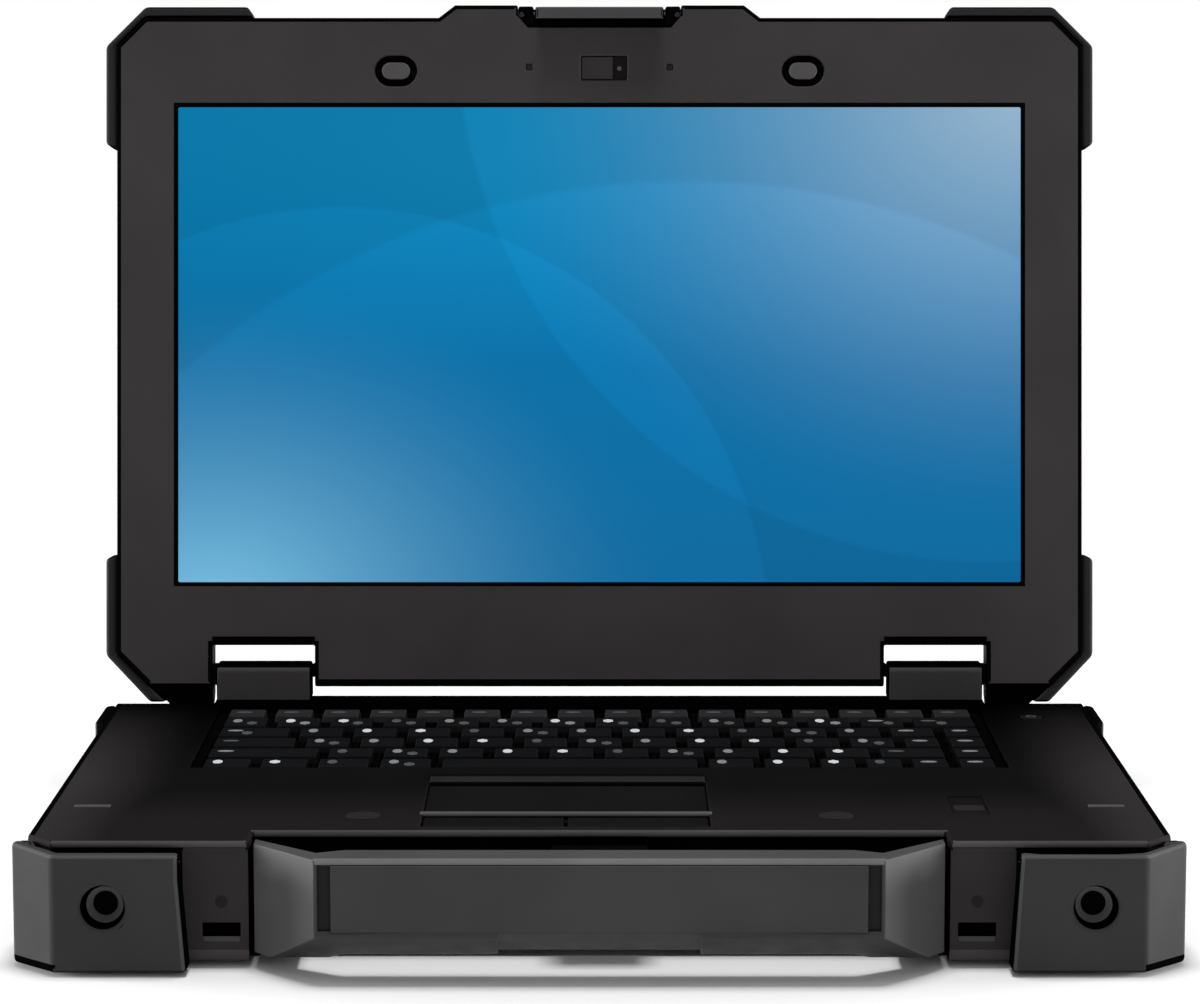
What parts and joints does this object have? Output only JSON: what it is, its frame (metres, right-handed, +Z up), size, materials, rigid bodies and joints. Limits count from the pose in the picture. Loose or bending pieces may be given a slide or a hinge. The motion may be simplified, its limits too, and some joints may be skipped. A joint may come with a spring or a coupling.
{
  "type": "laptop computer",
  "caption": "Rugged clamshell laptop computer, open, with corner bumpers, hinged lid and screen, keyboard, touchpad and a rigid carry handle across the front.",
  "frame": {"origin": "middle of the footprint of the open laptop, on the surface it stands on", "axes": "+X to the user's right, +Y to the back (away from the user), +Z up"},
  "size_m": [0.3626, 0.3068, 0.294],
  "materials": {
    "case_plastic": "fine-textured charcoal moulding",
    "deck_plastic": "fine-textured black moulding",
    "bezel_plastic": "fine-textured charcoal moulding",
    "bumper_plastic": "tough satin elastomer-coated moulding",
    "handle_plastic": "satin charcoal moulding",
    "black_rubber": "matt soft rubber",
    "key_plastic": "satin black key caps",
    "control_plastic": "satin black moulding",
    "plain_steel": "brushed steel",
    "dark_steel": "black painted steel",
    "heat_sink_alloy": "plain aluminium fins",
    "display": "lit blue screen behind glass",
    "panel_metal": "display panel casing",
    "circuit_board": "green circuit board",
    "battery_case": "black battery casing"
  },
  "bodies": {
    "base": {"lower_case": "case_plastic", "palmrest_deck": "deck_plastic", "front_bumper_left": "bumper_plastic", "front_bumper_right": "bumper_plastic", "rear_bumper_left": "bumper_plastic", "rear_bumper_right": "bumper_plastic", "carry_handle": "handle_plastic", "handle_grip": "black_rubber", "strap_socket_left": "plain_steel", "strap_socket_right": "plain_steel", "speaker_left": "control_plastic", "speaker_right": "control_plastic", "latch_keeper": "plain_steel", "keyboard_frame": "deck_plastic", "touchpad": "control_plastic", "fingerprint_reader": "control_plastic", "hinge_tower_left": "control_plastic", "hinge_tower_right": "control_plastic", "hinge_pin_left": "plain_steel", "hinge_pin_right": "plain_steel", "main_board": "circuit_board", "heat_sink": "heat_sink_alloy", "fan_housing": "dark_steel", "memory_module": "circuit_board", "battery_pack": "battery_case", "storage_drive": "dark_steel", "foot_front_left": "black_rubber", "foot_front_right": "black_rubber", "foot_rear_left": "black_rubber", "foot_rear_right": "black_rubber"},
    "lid": {"lid_shell": "case_plastic", "screen_bezel": "bezel_plastic", "display_glass": "display", "lcd_panel": "panel_metal", "lid_bumper_top_left": "bumper_plastic", "lid_bumper_top_right": "bumper_plastic", "lid_bumper_bottom_left": "bumper_plastic", "lid_bumper_bottom_right": "bumper_plastic", "bezel_pad_left": "black_rubber", "bezel_pad_right": "black_rubber", "camera_module": "control_plastic", "lid_hinge_bracket_left": "plain_steel", "lid_hinge_bracket_right": "plain_steel"},
    "latch": {"latch_lever": "dark_steel"},
    "shutter": {"camera_shutter": "bezel_plastic"},
    "fan": {"fan_rotor": "control_plastic"},
    "key_row_function": {"key_row_function": "key_plastic"},
    "key_row_number": {"key_row_number": "key_plastic"},
    "key_row_upper": {"key_row_upper": "key_plastic"},
    "key_row_middle": {"key_row_middle": "key_plastic"},
    "key_row_lower": {"key_row_lower": "key_plastic"},
    "key_row_control": {"key_row_control": "key_plastic"},
    "space_bar": {"space_bar": "key_plastic"},
    "touchpad_button_left": {"touchpad_button_left": "control_plastic"},
    "touchpad_button_right": {"touchpad_button_right": "control_plastic"},
    "power_button": {"power_button": "control_plastic"},
    "port_door_left": {"port_door_left": "case_plastic"},
    "port_door_right": {"port_door_right": "case_plastic"},
    "battery_latch": {"battery_latch": "control_plastic"}
  },
  "joints": [
    {"name": "lid_hinge", "type": "hinge", "parent": "base", "child": "lid", "pos_m": [0, 0.11321, 0.0478], "axis": [1, 0, 0], "range_deg": [-42.5, 97.46]},
    {"name": "latch_pivot", "type": "hinge", "parent": "lid", "child": "latch", "pos_m": [0, 0.14556, 0.29025], "axis": [1, 0, 0], "range_deg": [-10, 6], "stiffness_Nm_per_rad": 0.2},
    {"name": "shutter_slide", "type": "slide", "parent": "lid", "child": "shutter", "axis": [1, 0, 0], "range_m": [0, 0.0047]},
    {"name": "fan_spin", "type": "hinge", "parent": "base", "child": "fan", "pos_m": [0.026, 0.05501, 0.0175], "axis": [0, 0, 1], "continuous": true},
    {"name": "key_row_function_press", "type": "slide", "parent": "base", "child": "key_row_function", "axis": [0, 0, -1], "range_m": [0, 0.002], "stiffness_N_per_m": 800, "springref_m": -0.002},
    {"name": "key_row_number_press", "type": "slide", "parent": "base", "child": "key_row_number", "axis": [0, 0, -1], "range_m": [0, 0.002], "stiffness_N_per_m": 800, "springref_m": -0.002},
    {"name": "key_row_upper_press", "type": "slide", "parent": "base", "child": "key_row_upper", "axis": [0, 0, -1], "range_m": [0, 0.002], "stiffness_N_per_m": 800, "springref_m": -0.002},
    {"name": "key_row_middle_press", "type": "slide", "parent": "base", "child": "key_row_middle", "axis": [0, 0, -1], "range_m": [0, 0.002], "stiffness_N_per_m": 800, "springref_m": -0.002},
    {"name": "key_row_lower_press", "type": "slide", "parent": "base", "child": "key_row_lower", "axis": [0, 0, -1], "range_m": [0, 0.002], "stiffness_N_per_m": 800, "springref_m": -0.002},
    {"name": "key_row_control_press", "type": "slide", "parent": "base", "child": "key_row_control", "axis": [0, 0, -1], "range_m": [0, 0.002], "stiffness_N_per_m": 800, "springref_m": -0.002},
    {"name": "space_bar_press", "type": "slide", "parent": "base", "child": "space_bar", "axis": [0, 0, -1], "range_m": [0, 0.002], "stiffness_N_per_m": 800, "springref_m": -0.002},
    {"name": "touchpad_button_left_press", "type": "slide", "parent": "base", "child": "touchpad_button_left", "axis": [0, 0, -1], "range_m": [0, 0.0008], "stiffness_N_per_m": 800, "springref_m": -0.001},
    {"name": "touchpad_button_right_press", "type": "slide", "parent": "base", "child": "touchpad_button_right", "axis": [0, 0, -1], "range_m": [0, 0.0008], "stiffness_N_per_m": 800, "springref_m": -0.001},
    {"name": "power_button_press", "type": "slide", "parent": "base", "child": "power_button", "axis": [0, 0, -1], "range_m": [0, 0.001], "stiffness_N_per_m": 800, "springref_m": -0.001},
    {"name": "port_door_left_hinge", "type": "hinge", "parent": "base", "child": "port_door_left", "pos_m": [-0.1761, 0.04401, 0.0205], "axis": [0, 0, -1], "range_deg": [0, 100]},
    {"name": "port_door_right_hinge", "type": "hinge", "parent": "base", "child": "port_door_right", "pos_m": [0.1761, 0.04401, 0.0205], "axis": [0, 0, 1], "range_deg": [0, 100]},
    {"name": "battery_latch_slide", "type": "slide", "parent": "base", "child": "battery_latch", "axis": [1, 0, 0], "range_m": [0, 0.005]}
  ]
}
